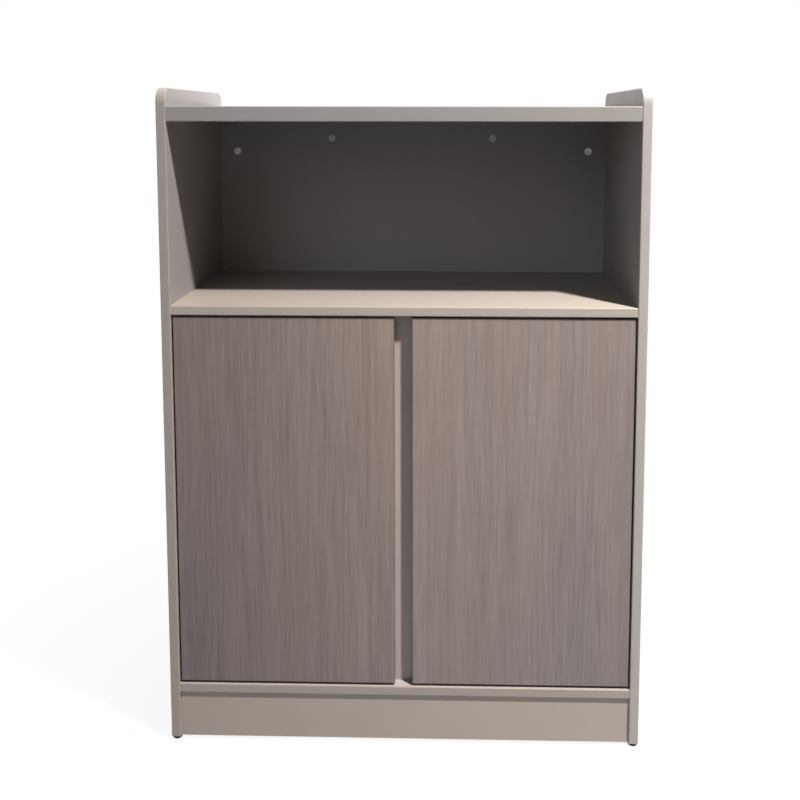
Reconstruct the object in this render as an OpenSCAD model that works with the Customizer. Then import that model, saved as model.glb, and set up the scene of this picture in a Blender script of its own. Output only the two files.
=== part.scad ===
// Low office cabinet: two doors below an open compartment, between two side panels with ears.
// The origin is the middle of the footprint on the floor. +X is right, +Z is up, the front faces -Y.

/* [Cabinet] */
// Width over the side panels
cabinet_w = 800; // [600:10:1200]
// Depth of the side panels
cabinet_d = 390; // [340:10:600]
// Height of the plinth under the bottom board
plinth_h = 80; // [70:5:140]
// Clear height of the cupboard behind the doors
cupboard_h = 641; // [520:1:900]
// Clear height of the open compartment
niche_h = 302; // [250:1:450]
// How far the side panels stand above the top board
ear_rise = 30; // [28:1:60]
// Radius of the side panels' upper corners
ear_r = 25; // [10:1:60]

/* [Boards] */
// Thickness of the melamine boards
board_t = 16; // [15:0.5:22]
// Thickness of the top board
top_t = 25; // [18:1:36]
// Distance of the shelf fronts behind the side panels' front edges
front_setback = 1; // [0:1:20]
// Distance of the front plinth behind the shelf fronts
plinth_setback = 4; // [2:1:30]
// Thickness of the edging strips of the carcass
edging_t = 2; // [1:0.1:3]
// Rounding of the edging strips' outer corners
edging_round = 1.8; // [0.4:0.1:2.5]
// Width of the centre stile
stile_w = 80; // [70:2:140]
// Gap between the doors' backs and the centre stile
stile_gap = 2.5; // [2.5:0.5:5]

/* [Doors] */
// Thickness of the doors
door_t = 16; // [16:0.5:19]
// Distance of the door fronts behind the shelf fronts
door_setback = 3; // [0:0.5:6]
// Finger gap between the two doors
finger_gap = 30; // [20:1:50]
// Gap between each door and its side panel
door_side_gap = 2.5; // [2.5:0.1:4]
// Gap above the doors
door_top_gap = 3; // [2:0.5:6]
// Gap below the doors
door_bottom_gap = 4; // [2:0.5:6]
// Thickness of the doors' edging strips
door_edging_t = 1; // [0.6:0.1:2]
// Diameter of the stick-on bumpers
bumper_d = 9; // [6:0.5:12]

/* [Adjustable shelf] */
// Gap between the shelf's ends and the side panels
shelf_play = 1; // [0.5:0.1:3]
// Gap in front of and behind the shelf
shelf_space = 2; // [1:0.5:8]
// Distance between pin holes
hole_pitch = 32; // [25:1:50]
// Number of pin holes in a row
hole_count = 5; // [3:2:9]
// Distance of the front row of pin holes behind the side panels' front edges
front_row = 90; // [80:1:120]
// Distance of the rear row of pin holes in front of the back panel
rear_row = 50; // [30:1:80]
// Diameter of a shelf pin
pin_d = 5; // [4:0.5:7]
// Depth of a pin hole
pin_hole_l = 10; // [8:0.5:12]
// Length of a shelf pin's tab under the shelf
pin_tab_l = 9; // [7:0.5:14]
// Width of a shelf pin's tab
pin_tab_w = 11; // [8:0.5:16]
// Thickness of a shelf pin's tab
pin_tab_t = 2; // [1.5:0.1:3]

/* [Cam fittings] */
// Diameter of a cam housing
cam_d = 15; // [12:0.5:18]
// Depth of a cam housing
cam_h = 12.5; // [11:0.5:13]
// Distance from a board's end to its cam's centre
cam_reach = 34; // [24:1:40]
// Diameter of a cam bolt's shank
bolt_d = 7; // [6:0.5:7.5]
// Diameter of a cam bolt's neck
bolt_neck_d = 4; // [3:0.5:5]
// Length of a cam bolt's neck
bolt_neck_l = 5; // [3:0.5:6]
// Diameter of the bore that takes the shank
bolt_bore_d = 8; // [8:0.5:9]
// Diameter of a cam bolt's thread
thread_d = 5; // [4:0.5:6]
// Length of a cam bolt's thread
thread_l = 11; // [8:0.5:12]
// Diameter of a wooden dowel
dowel_d = 8; // [6:0.5:9]
// Length of a wooden dowel
dowel_l = 30; // [24:1:35]
// Depth of a dowel's hole in the board that it stands on
dowel_hole_l = 10; // [8:0.5:12]
// Distance from a cam bolt to its dowel
dowel_off = 32; // [20:1:40]
// Distance of the front cam bolts behind the shelf fronts
cam_front = 60; // [55:1:90]
// Distance of the rear cam bolts in front of the back panel
cam_rear = 60; // [20:1:90]
// Half the distance between the two upper cams that hold the top board
cam_top_half = 160; // [80:1:240]
// Distance of the back panel's upper side cams below the top board
cam_back_drop = 60; // [45:1:80]
// Distance of the back panel's lowest side cams above its lower edge
cam_back_rise = 60; // [30:1:120]

/* [Glides] */
// Height of the glides
glide_h = 6; // [3:0.5:12]
// Diameter of the glides
glide_d = 16; // [12:0.5:20]
// Distance of the glides' centres from the panels' front and rear edges
glide_inset = 10; // [9:1:40]
// Diameter of a glide's nail
nail_d = 2.2; // [1.5:0.1:3]
// Length of a glide's nail in the panel
nail_l = 16; // [10:1:25]
// Diameter of a nail's head
nail_head_d = 6; // [4:0.5:8]
// Thickness of a nail's head
nail_head_t = 1.2; // [0.8:0.1:2]

/* [Hinges] */
// Distance from a door's end to its hinge
hinge_from_end = 100; // [80:1:140]
// Diameter of a hinge cup
cup_d = 35; // [35:0.5:36]
// Depth of a hinge cup's bore
cup_h = 12; // [11.5:0.1:12.5]
// Distance from the door's edge to the cup's centre
cup_inset = 22.5; // [21.5:0.1:24]
// Wall of a hinge cup
cup_wall = 1; // [0.8:0.1:1.4]
// Height of a cup's flange along the door
flange_h = 62; // [58:1:70]
// Width of a cup's flange across the door
flange_w = 24; // [20:1:28]
// Thickness of a cup's flange
flange_t = 1.2; // [1:0.1:1.6]
// Distance between a cup's two screws
cup_screw_gap = 48; // [46:1:52]
// Diameter of the hinges' pins
hinge_pin_d = 3; // [2.5:0.1:3.2]
// Width of a hinge arm
arm_w = 12.4; // [12:0.2:14]
// Sheet thickness of a hinge arm
arm_t = 1.4; // [1.2:0.1:1.6]
// Thickness of a mounting plate
plate_t = 2.4; // [2:0.1:3]
// Height of a mounting plate's wings
plate_h = 50; // [46:1:56]
// Distance between a mounting plate's two screws
plate_screw_gap = 32; // [28:1:36]
// Diameter of the mounting plates' screws
euro_d = 5; // [4:0.5:6]
// Length of the mounting plates' screws in the panel
euro_l = 11; // [8:0.5:12]

/* [Hidden] */
$fn = 48;

// Colours
GREIGE = [0.66, 0.62, 0.57];
GREIGE_EDGE = [0.68, 0.64, 0.6];
DARK_OAK = [0.5, 0.44, 0.41];
ZINC = [0.72, 0.72, 0.7];
NICKEL = [0.78, 0.77, 0.74];
BEECH = [0.8, 0.66, 0.46];
BLACK = [0.08, 0.08, 0.08];
CLEAR = [0.85, 0.86, 0.85];

// Small allowances: running clearance of pins, play of parts that sit in bores, cutters' overrun
run = 0.05;
snug = 0.1;
over = 1;
edge_land = 0.2;

// Heights
bottom_z0 = glide_h + plinth_h;
bottom_z1 = bottom_z0 + board_t;
shelf_z0 = bottom_z1 + cupboard_h;
shelf_z1 = shelf_z0 + board_t;
top_z0 = shelf_z1 + niche_h;
top_z1 = top_z0 + top_t;
ear_z = top_z1 + ear_rise;

// Widths and depths
in_x = cabinet_w / 2 - board_t;
panel_y0 = -cabinet_d / 2;
shelf_y0 = panel_y0 + front_setback;
plinth_y0 = shelf_y0 + plinth_setback;
door_y0 = shelf_y0 + door_setback;
door_y1 = door_y0 + door_t;
stile_y0 = door_y1 + stile_gap;
stile_y1 = stile_y0 + board_t;
back_y0 = cabinet_d / 2 - board_t;

// Doors
door_x0 = finger_gap / 2;
door_w = in_x - door_side_gap - door_x0;
door_z0 = bottom_z1 + door_bottom_gap;
door_h = cupboard_h - door_bottom_gap - door_top_gap;
bumper_in = 8;
bumper_from_end = 50;
bumper_t = stile_gap - snug;
hinge_zs = [door_z0 + hinge_from_end, door_z0 + door_h - hinge_from_end];

// Adjustable shelf on the middle row of pin holes
pin_row_z = (bottom_z1 + shelf_z0) / 2;
pin_zs = [for (i = [0:hole_count - 1]) pin_row_z + (i - (hole_count - 1) / 2) * hole_pitch];
pin_ys = [panel_y0 + front_row, back_y0 - rear_row];
loose_z0 = pin_row_z + pin_d / 2;
loose_y0 = stile_y1 + shelf_space;
loose_y1 = back_y0 - shelf_space;
loose_w = 2 * (in_x - shelf_play);

// Hinge pivots on the left, from the side panel's inner face and its front edge.
// The outer link joins the arm's front pivot to the cup's pin, the inner link starts at the arm's
// rear pivot, and its other end stands free in the cup.
door_back = front_setback + door_setback + door_t;
arm_pin_in = 41.5;
arm_pin_behind = 4.5;
rear_pin_in = 42.2;
rear_pin_behind = 21;
cup_pin_in = 18;
cup_pin_depth = 7.5;
free_end_in = 16;
free_end_depth = 2.6;
arm_pivot = [door_side_gap + arm_pin_in, door_back + arm_pin_behind];
arm_rear_pivot = [door_side_gap + rear_pin_in, door_back + rear_pin_behind];
cup_pivot = [door_side_gap + cup_pin_in, door_back - cup_pin_depth];
inner_end = [door_side_gap + free_end_in, door_back - free_end_depth];
cup_centre = door_side_gap + cup_inset;
arm_eye_r = 3.6;
link_eye_r = 2.7;
link_bar_w = 2.6;
link_elbow = 1.5;
link_elbow_share = 0.7;
link_play = 0.2;
link_half_w = arm_w / 2 - arm_t - link_play;
link_cheek_t = 1.6;
inner_half_w = link_half_w - link_cheek_t - link_play;
pin_head = 0.4;
plate_back = 60;
plate_v = door_back + plate_back;
plate_w = 14;
tail_u0 = 5;
tail_u1 = 14;
tail_front = 8;
tail_rear = 22;
rail_front = 6;
rail_rear = 20;
crank_rear = 8;
screw_head_t = 1.5;
euro_head_d = 9;
arm_screw_d = 5;
arm_screw_head_d = 8;
arm_screw_l = 8;
arm_screw_off = 10;
cup_screw_d = 3.5;
cup_screw_head_d = 7;
cup_screw_l = 11;
cup_screw_in = 9.5;
flange_in = 5;
flange_clear = 7;

// Glides
glide_foot_share = 0.25;
nail_recess_share = 0.5;

// Cam fittings
cam_axis = board_t / 2;
cam_play = 0.2;
cam_slot_w = 1.4;
cam_slot_l = 8;
cam_slot_t = 1.6;
bolt_head_l = 3;
thread_hole_l = thread_l + over;
dowel_gap = 0.5;

// Joints on the left side panel, each a place and a turn. Local +X runs into the fastened board
// and local +Z points to the face that its cam is set in. The right side mirrors them.
UNDER = [180, 0, 0];
FROM_FRONT = [90, 0, 0];
FROM_BEHIND = [-90, 0, 0];
board_joints = [
    for (z = [bottom_z0, shelf_z0, top_z0]) for (y = [shelf_y0 + cam_front, back_y0 - cam_rear])
        [[-in_x, y, z + cam_axis], UNDER]
];
plinth_joints = [
    [[-in_x, plinth_y0 + board_t / 2, glide_h + (plinth_h + dowel_off) / 2], FROM_BEHIND],
    [[-in_x, back_y0 - board_t / 2, glide_h + (plinth_h - dowel_off) / 2], FROM_FRONT],
];
back_cam_zs = [bottom_z0 + cam_back_rise, shelf_z0 - cam_back_drop - dowel_off, top_z0 - cam_back_drop];
back_joints = [for (z = back_cam_zs) [[-in_x, back_y0 + board_t / 2, z], FROM_FRONT]];
side_joints = concat(board_joints, plinth_joints, back_joints);
// Joints that are not on the side panels
top_joints = [for (x = [-cam_top_half, cam_top_half]) [[x, back_y0 + board_t / 2, top_z0], [90, 90, 0]]];
stile_joints = [
    [[dowel_off / 2, stile_y0 + board_t / 2, shelf_z0], [-90, 90, 0]],
    [[-dowel_off / 2, stile_y0 + board_t / 2, bottom_z1], [-90, -90, 0]],
];

// Places children at each joint of a list
module at_joints(joints) {
    for (j = joints) translate(j[0]) rotate(j[1]) children();
}

// Draws children and their mirror image on the other side
module both_sides() {
    children();
    mirror([1, 0, 0]) children();
}

module right_side() {
    mirror([1, 0, 0]) children();
}

// Draws children and their mirror image at the rear
module front_and_rear() {
    children();
    mirror([0, 1, 0]) children();
}

// Section of an edging strip: X outwards from the glued face, Y across the board's thickness
module edge_section(board, strip) {
    r = min(edging_round, strip - edge_land);
    intersection() {
        square([strip, board]);
        union() {
            square([strip - r, board]);
            translate([0, r]) square([strip, board - 2 * r]);
            for (y = [r, board - r]) translate([strip - r, y]) circle(r);
        }
    }
}

// Strip on a front edge, centred along X, glued face at Y 0
module front_strip(length, board, strip) {
    translate([length / 2, 0, 0]) rotate([90, 0, -90]) linear_extrude(length) edge_section(board, strip);
}

// Strip on a left edge, standing, glued face at X 0
module left_strip(length, board, strip) {
    rotate([0, 0, 180]) translate([0, -board, 0]) linear_extrude(length) edge_section(board, strip);
}

// Strip on an upper edge, centred along X, glued face at Z 0
module upper_strip(length, board, strip) {
    translate([length / 2, 0, 0]) rotate([0, -90, 0]) linear_extrude(length) edge_section(board, strip);
}

// Board that lies flat between the side panels, without its edging
module flat_board(y0, y1, z0, t, w = 2 * in_x) {
    translate([-w / 2, y0, z0]) cube([w, y1 - y0, t]);
}

// Joint cuts: in the panel that the bolt is screwed into, and in the board with the cam
module panel_cut() {
    rotate([0, 90, 0]) {
        translate([0, 0, -thread_hole_l]) cylinder(d = thread_d, h = thread_hole_l + over);
        translate([0, dowel_off, -dowel_hole_l]) cylinder(d = dowel_d, h = dowel_hole_l + over);
    }
}

module board_cut() {
    translate([-over, 0, 0]) rotate([0, 90, 0]) cylinder(d = bolt_bore_d, h = cam_reach + over);
    translate([cam_reach, 0, cam_axis - cam_h]) cylinder(d = cam_d, h = cam_h + over);
    translate([-over, dowel_off, 0])
        rotate([0, 90, 0]) cylinder(d = dowel_d, h = dowel_l - dowel_hole_l + 2 * dowel_gap + over);
}

// Round cam with the bore for the bolt's head and a cross recess in its face
module cam() {
    translate([cam_reach, 0, 0]) difference() {
        translate([0, 0, cam_axis - cam_h + cam_play]) cylinder(d = cam_d - 2 * snug, h = cam_h - cam_play);
        translate([-cam_d, 0, 0]) rotate([0, 90, 0]) cylinder(d = bolt_bore_d, h = cam_d + bolt_head_l);
        for (a = [45, 135]) rotate([0, 0, a])
            translate([-cam_slot_l / 2, -cam_slot_w / 2, cam_axis - cam_slot_t])
                cube([cam_slot_l, cam_slot_w, cam_slot_t + over]);
    }
}

// Bolt with its thread in the panel, its shank, neck and head
module cam_bolt() {
    rotate([0, 90, 0]) {
        translate([0, 0, -thread_l]) cylinder(d = thread_d - 2 * run, h = thread_l);
        cylinder(d = bolt_d, h = cam_reach - bolt_neck_l);
        cylinder(d = bolt_neck_d, h = cam_reach);
        translate([0, 0, cam_reach]) cylinder(d = bolt_d, h = bolt_head_l - 2 * snug);
    }
}

module dowel() {
    translate([dowel_gap - dowel_hole_l, dowel_off, 0])
        rotate([0, 90, 0]) cylinder(d = dowel_d - 2 * run, h = dowel_l);
}

// Side panel: outline of the board inside its edging, seen from the side
module side_outline() {
    half_d = cabinet_d / 2;
    translate([edging_t - half_d, glide_h]) square([cabinet_d - 2 * edging_t, ear_z - ear_r - glide_h]);
    translate([ear_r - half_d, glide_h]) square([cabinet_d - 2 * ear_r, ear_z - edging_t - glide_h]);
    for (y = [ear_r - half_d, half_d - ear_r]) translate([y, ear_z - ear_r]) circle(ear_r - edging_t);
}

module side_panel() {
    color(GREIGE) difference() {
        translate([-cabinet_w / 2, 0, 0]) rotate([90, 0, 90]) linear_extrude(board_t) side_outline();
        at_joints(side_joints) panel_cut();
        for (y = pin_ys) for (z = pin_zs) translate([-in_x - pin_hole_l, y, z])
            rotate([0, 90, 0]) cylinder(d = pin_d, h = pin_hole_l + over);
        at_hinges() for (z = plate_screw_zs) translate([-euro_l - over, plate_v, z])
            rotate([0, 90, 0]) cylinder(d = euro_d, h = euro_l + 2 * over);
        at_glides() cylinder(d = nail_d, h = nail_l + over);
    }
}

// Edging up the front, round the ear, along the top and down the rear
module side_edging() {
    color(GREIGE_EDGE) translate([-cabinet_w / 2, 0, 0]) {
        front_and_rear() {
            translate([0, edging_t - cabinet_d / 2, glide_h]) rotate([0, 0, -90])
                linear_extrude(ear_z - ear_r - glide_h) edge_section(board_t, edging_t);
            translate([0, ear_r - cabinet_d / 2, ear_z - ear_r]) rotate([0, -90, 180])
                rotate_extrude(angle = 90) translate([ear_r - edging_t, 0]) edge_section(board_t, edging_t);
        }
        translate([0, ear_r - cabinet_d / 2, ear_z - edging_t]) rotate([-90, -90, 0])
            linear_extrude(cabinet_d - 2 * ear_r) edge_section(board_t, edging_t);
    }
}

module side_panel_left() { side_panel(); }
module side_panel_right() { right_side() side_panel(); }
module side_edging_left() { side_edging(); }
module side_edging_right() { right_side() side_edging(); }

module top_board() {
    color(GREIGE) difference() {
        flat_board(shelf_y0 + edging_t, cabinet_d / 2 - edging_t, top_z0, top_t);
        both_sides() at_joints(board_joints) board_cut();
        at_joints(top_joints) panel_cut();
    }
}

module top_board_edging() {
    color(GREIGE_EDGE) {
        translate([0, shelf_y0 + edging_t, top_z0]) front_strip(2 * in_x, top_t, edging_t);
        translate([0, cabinet_d / 2 - edging_t, top_z0])
            mirror([0, 1, 0]) front_strip(2 * in_x, top_t, edging_t);
    }
}

module fixed_shelf() {
    color(GREIGE) difference() {
        flat_board(shelf_y0 + edging_t, back_y0, shelf_z0, board_t);
        both_sides() at_joints(board_joints) board_cut();
        at_joints(stile_joints) panel_cut();
    }
}

module fixed_shelf_edging() {
    color(GREIGE_EDGE) translate([0, shelf_y0 + edging_t, shelf_z0])
        front_strip(2 * in_x, board_t, edging_t);
}

module bottom_board() {
    color(GREIGE) difference() {
        flat_board(shelf_y0 + edging_t, back_y0, bottom_z0, board_t);
        both_sides() at_joints(board_joints) board_cut();
        at_joints(stile_joints) panel_cut();
    }
}

module bottom_board_edging() {
    color(GREIGE_EDGE) translate([0, shelf_y0 + edging_t, bottom_z0])
        front_strip(2 * in_x, board_t, edging_t);
}

module back_panel() {
    color(GREIGE) difference() {
        translate([-in_x, back_y0, bottom_z0]) cube([2 * in_x, board_t, top_z0 - bottom_z0]);
        both_sides() at_joints(back_joints) board_cut();
        at_joints(top_joints) board_cut();
    }
}

module centre_stile() {
    core_w = stile_w - 2 * edging_t;
    color(GREIGE) difference() {
        translate([-core_w / 2, stile_y0, bottom_z1]) cube([core_w, board_t, cupboard_h]);
        at_joints(stile_joints) board_cut();
    }
}

module centre_stile_edging() {
    color(GREIGE_EDGE) both_sides()
        translate([edging_t - stile_w / 2, stile_y0, bottom_z1]) left_strip(cupboard_h, board_t, edging_t);
}

// Plinth board between the side panels, its front at a given depth
module plinth_board(y0) {
    color(GREIGE) difference() {
        translate([-in_x, y0, glide_h]) cube([2 * in_x, board_t, plinth_h]);
        both_sides() at_joints(plinth_joints) board_cut();
    }
}

module front_plinth() { plinth_board(plinth_y0); }
module rear_plinth() { plinth_board(back_y0 - board_t); }

module cams_back_panel() {
    color(ZINC) {
        both_sides() at_joints(back_joints) cam();
        at_joints(top_joints) cam();
    }
}

module cams_boards() {
    color(ZINC) {
        both_sides() at_joints(concat(board_joints, plinth_joints)) cam();
        at_joints(stile_joints) cam();
    }
}

module cam_bolts() {
    color(ZINC) {
        both_sides() at_joints(side_joints) cam_bolt();
        at_joints(concat(top_joints, stile_joints)) cam_bolt();
    }
}

module wooden_dowels() {
    color(BEECH) {
        both_sides() at_joints(side_joints) dowel();
        at_joints(concat(top_joints, stile_joints)) dowel();
    }
}

// Places children under the left side panel at its front and rear glide
module at_glides() {
    for (y = [glide_inset - cabinet_d / 2, cabinet_d / 2 - glide_inset])
        translate([-in_x - board_t / 2, y, glide_h]) children();
}

module glide() {
    foot = glide_foot_share * glide_h;
    recess = nail_recess_share * glide_h;
    difference() {
        translate([0, 0, -glide_h]) {
            cylinder(d1 = glide_d - 2 * foot, d2 = glide_d, h = foot);
            translate([0, 0, foot]) cylinder(d = glide_d, h = glide_h - foot);
        }
        translate([0, 0, -glide_h - over]) cylinder(d = nail_head_d + 2 * snug, h = recess + over);
        translate([0, 0, -glide_h]) cylinder(d = nail_d, h = glide_h + over);
    }
}

module glides() {
    color(BLACK) both_sides() at_glides() glide();
}

module glide_nails() {
    head_z = (nail_recess_share - 1) * glide_h;
    color(ZINC) both_sides() at_glides() {
        translate([0, 0, head_z]) cylinder(d = nail_d - 2 * run, h = nail_l - head_z);
        translate([0, 0, head_z - nail_head_t]) cylinder(d = nail_head_d, h = nail_head_t);
    }
}

// Pin with a flat tab that the shelf rests on
module shelf_pin() {
    rotate([0, 90, 0]) translate([0, 0, over - pin_hole_l])
        cylinder(d = pin_d - 2 * run, h = pin_hole_l - over + pin_tab_l);
    translate([0, -pin_tab_w / 2, pin_d / 2 - pin_tab_t]) cube([pin_tab_l, pin_tab_w, pin_tab_t]);
}

module shelf_pins() {
    color(ZINC) both_sides() for (y = pin_ys) translate([-in_x, y, pin_row_z]) shelf_pin();
}

module adjustable_shelf() {
    color(GREIGE) flat_board(loose_y0 + edging_t, loose_y1, loose_z0, board_t, loose_w);
}

module adjustable_shelf_edging() {
    color(GREIGE_EDGE) translate([0, loose_y0 + edging_t, loose_z0]) front_strip(loose_w, board_t, edging_t);
}

// Places children at the left hinges: X from the panel's inner face, Y from its front edge
module at_hinges() {
    for (z = hinge_zs) translate([-in_x, panel_y0, z]) children();
}

plate_screw_zs = [-plate_screw_gap / 2, plate_screw_gap / 2];
cup_screw_zs = [-cup_screw_gap / 2, cup_screw_gap / 2];

// Mounting plate: two wings on the panel and a rail that the arm slides over
module hinge_plate() {
    rail_half = arm_w / 2 - arm_t - snug;
    difference() {
        union() {
            translate([0, plate_v - plate_w / 2, -plate_h / 2]) cube([plate_t, plate_w, plate_h]);
            translate([0, plate_v - rail_front, -rail_half])
                cube([tail_u1 - arm_t, rail_front + rail_rear, 2 * rail_half]);
        }
        for (z = plate_screw_zs) translate([-over, plate_v, z])
            rotate([0, 90, 0]) cylinder(d = euro_d, h = plate_t + 2 * over);
        translate([tail_u1 - arm_t - arm_screw_l, plate_v + arm_screw_off, 0])
            rotate([0, 90, 0]) cylinder(d = arm_screw_d, h = arm_screw_l + over);
    }
}

module hinge_plates() {
    color(NICKEL) both_sides() at_hinges() hinge_plate();
}

module hinge_plate_screws() {
    color(NICKEL) both_sides() at_hinges() for (z = plate_screw_zs) translate([0, plate_v, z])
        rotate([0, 90, 0]) {
            translate([0, 0, -euro_l]) cylinder(d = euro_d - 2 * run, h = euro_l + plate_t);
            translate([0, 0, plate_t]) cylinder(d = euro_head_d, h = screw_head_t);
        }
}

// Bar between two points with round ends
module bar(p, q, w) {
    d = q - p;
    translate(p) rotate(atan2(d[1], d[0])) translate([0, -w / 2]) square([norm(d), w]);
    for (c = [p, q]) translate(c) circle(d = w);
}

// Arm seen along the door: the bent cheeks and the web that joins them on their inner side
arm_side = [link_eye_r + link_play + arm_t, 0];
arm_back = arm_rear_pivot + arm_side + [0, crank_rear];
arm_elbow = [tail_u1, plate_v - tail_front];
arm_end = [tail_u1, plate_v + tail_rear];
arm_heel = [tail_u0, plate_v - 2 * tail_front];

module arm_cheek() {
    polygon([
        arm_pivot - [arm_eye_r, 0], arm_pivot + arm_side, arm_rear_pivot + arm_side, arm_back,
        arm_elbow, arm_end, [tail_u0, arm_end[1]], arm_heel,
        arm_rear_pivot - [arm_eye_r, 0],
    ]);
    translate(arm_pivot) circle(arm_eye_r);
}

module arm_web() {
    step = [arm_t, 0];
    polygon([
        arm_pivot + arm_side, arm_rear_pivot + arm_side, arm_back, arm_elbow, arm_end,
        arm_end - step, arm_elbow - step, arm_back - 2 * step,
        arm_rear_pivot + arm_side - step, arm_pivot + arm_side - step,
    ]);
}

module hinge_arm() {
    difference() {
        union() {
            for (z = [-arm_w / 2, arm_w / 2 - arm_t]) translate([0, 0, z]) linear_extrude(arm_t) arm_cheek();
            translate([0, 0, -arm_w / 2]) linear_extrude(arm_w) arm_web();
        }
        for (p = [arm_pivot, arm_rear_pivot]) translate([p[0], p[1], -arm_w])
            cylinder(d = hinge_pin_d, h = 2 * arm_w);
        translate([0, plate_v + arm_screw_off, 0])
            rotate([0, 90, 0]) cylinder(d = arm_screw_d, h = tail_u1 + over);
    }
}

module hinge_arms() {
    color(NICKEL) both_sides() at_hinges() hinge_arm();
}

module hinge_arm_screws() {
    shank = arm_screw_l + arm_t - over;
    color(NICKEL) both_sides() at_hinges() translate([tail_u1, plate_v + arm_screw_off, 0])
        rotate([0, 90, 0]) {
            translate([0, 0, -shank]) cylinder(d = arm_screw_d - 2 * run, h = shank);
            cylinder(d = arm_screw_head_d, h = screw_head_t);
        }
}

module hinge_arm_pins() {
    half = arm_w / 2 + pin_head;
    color(ZINC) both_sides() at_hinges() for (p = [arm_pivot, arm_rear_pivot]) translate([p[0], p[1], -half])
        cylinder(d = hinge_pin_d - 2 * run, h = 2 * half);
}

// Outer link: two bars joined by a tube round the arm's front pin
module outer_link() {
    difference() {
        union() {
            for (z = [-link_half_w, link_half_w - link_cheek_t]) translate([0, 0, z])
                linear_extrude(link_cheek_t) {
                    bar(arm_pivot, cup_pivot, link_bar_w);
                    translate(cup_pivot) circle(link_eye_r);
                }
            translate([arm_pivot[0], arm_pivot[1], -link_half_w])
                cylinder(r = link_eye_r, h = 2 * link_half_w);
        }
        for (p = [arm_pivot, cup_pivot]) translate([p[0], p[1], -arm_w])
            cylinder(d = hinge_pin_d, h = 2 * arm_w);
    }
}

// Inner link, bent near its free end
module inner_link() {
    d = inner_end - arm_rear_pivot;
    elbow = arm_rear_pivot + link_elbow_share * d + link_elbow * [-d[1], d[0]] / norm(d);
    translate([0, 0, -inner_half_w]) difference() {
        linear_extrude(2 * inner_half_w) {
            bar(arm_rear_pivot, elbow, link_bar_w);
            bar(elbow, inner_end, link_bar_w);
            translate(arm_rear_pivot) circle(link_eye_r);
        }
        translate([arm_rear_pivot[0], arm_rear_pivot[1], -over])
            cylinder(d = hinge_pin_d, h = 2 * (inner_half_w + over));
    }
}

module outer_links_left() { color(NICKEL) at_hinges() outer_link(); }
module inner_links_left() { color(NICKEL) at_hinges() inner_link(); }
module outer_links_right() { right_side() outer_links_left(); }
module inner_links_right() { right_side() inner_links_left(); }

// Doors, drawn on the left
module door_core() {
    color(DARK_OAK) difference() {
        translate([-door_x0 - door_w + door_edging_t, door_y0, door_z0 + door_edging_t])
            cube([door_w - 2 * door_edging_t, door_t, door_h - 2 * door_edging_t]);
        at_hinges() translate([cup_centre, door_back, 0]) rotate([90, 0, 0]) {
            translate([0, 0, -over]) cylinder(d = cup_d, h = cup_h + over);
            for (z = cup_screw_zs) translate([cup_screw_in, z, -over])
                cylinder(d = cup_screw_d, h = cup_screw_l + 2 * over);
        }
    }
}

module door_edging() {
    short = door_w - 2 * door_edging_t;
    color(DARK_OAK) {
        translate([-door_x0 - door_w + door_edging_t, door_y0, door_z0])
            left_strip(door_h, door_t, door_edging_t);
        translate([-door_x0 - door_edging_t, door_y0, door_z0])
            mirror([1, 0, 0]) left_strip(door_h, door_t, door_edging_t);
        translate([-door_x0 - door_w / 2, door_y0, door_z0 + door_h - door_edging_t])
            upper_strip(short, door_t, door_edging_t);
        translate([-door_x0 - door_w / 2, door_y0, door_z0 + door_edging_t])
            mirror([0, 0, 1]) upper_strip(short, door_t, door_edging_t);
    }
}

// Cup in the door's back with two flange wings, drawn with Z out of the door's back
module hinge_cup() {
    inner_r = cup_d / 2 - snug - cup_wall;
    difference() {
        union() {
            translate([0, 0, snug - cup_h]) cylinder(d = cup_d - 2 * snug, h = cup_h - snug);
            translate([flange_in - flange_w / 2, -flange_h / 2, 0]) cube([flange_w, flange_h, flange_t]);
        }
        translate([0, 0, snug + cup_wall - cup_h]) cylinder(r = inner_r, h = cup_h + flange_t);
        translate([-cup_d, -flange_clear, 0]) cube([2 * cup_d, 2 * flange_clear, flange_t + over]);
        for (z = cup_screw_zs) translate([cup_screw_in, z, -over])
            cylinder(d = cup_screw_d, h = flange_t + 2 * over);
        translate([cup_pivot[0] - cup_centre, -cup_d, cup_pivot[1] - door_back])
            rotate([-90, 0, 0]) cylinder(d = hinge_pin_d, h = 2 * cup_d);
    }
}

// Places children in a left cup's frame, with Z pointing out of the door's back
module at_cups() {
    at_hinges() translate([cup_centre, door_back, 0]) rotate([-90, 0, 0]) children();
}

module door_left() { door_core(); }
module door_left_edging() { door_edging(); }
module hinge_cups_left() { color(NICKEL) at_cups() hinge_cup(); }

module cup_screws_left() {
    color(NICKEL) at_cups() for (z = cup_screw_zs) translate([cup_screw_in, z, 0]) {
        translate([0, 0, -cup_screw_l]) cylinder(d = cup_screw_d - 2 * run, h = cup_screw_l + flange_t);
        translate([0, 0, flange_t]) cylinder(d = cup_screw_head_d, h = screw_head_t);
    }
}

// Pin across the cup, held in its wall on both sides
module cup_pins_left() {
    wall_r = cup_d / 2 - snug - cup_wall / 2;
    offset_x = cup_pivot[0] - cup_centre;
    half = sqrt(wall_r * wall_r - offset_x * offset_x);
    color(ZINC) at_hinges() translate([cup_pivot[0], cup_pivot[1], -half])
        cylinder(d = hinge_pin_d - 2 * run, h = 2 * half);
}

module door_bumpers_left() {
    color(CLEAR) for (z = [door_z0 + bumper_from_end, door_z0 + door_h - bumper_from_end])
        translate([-door_x0 - bumper_in, door_y1, z])
            rotate([-90, 0, 0]) cylinder(d = bumper_d, h = bumper_t);
}

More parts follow.
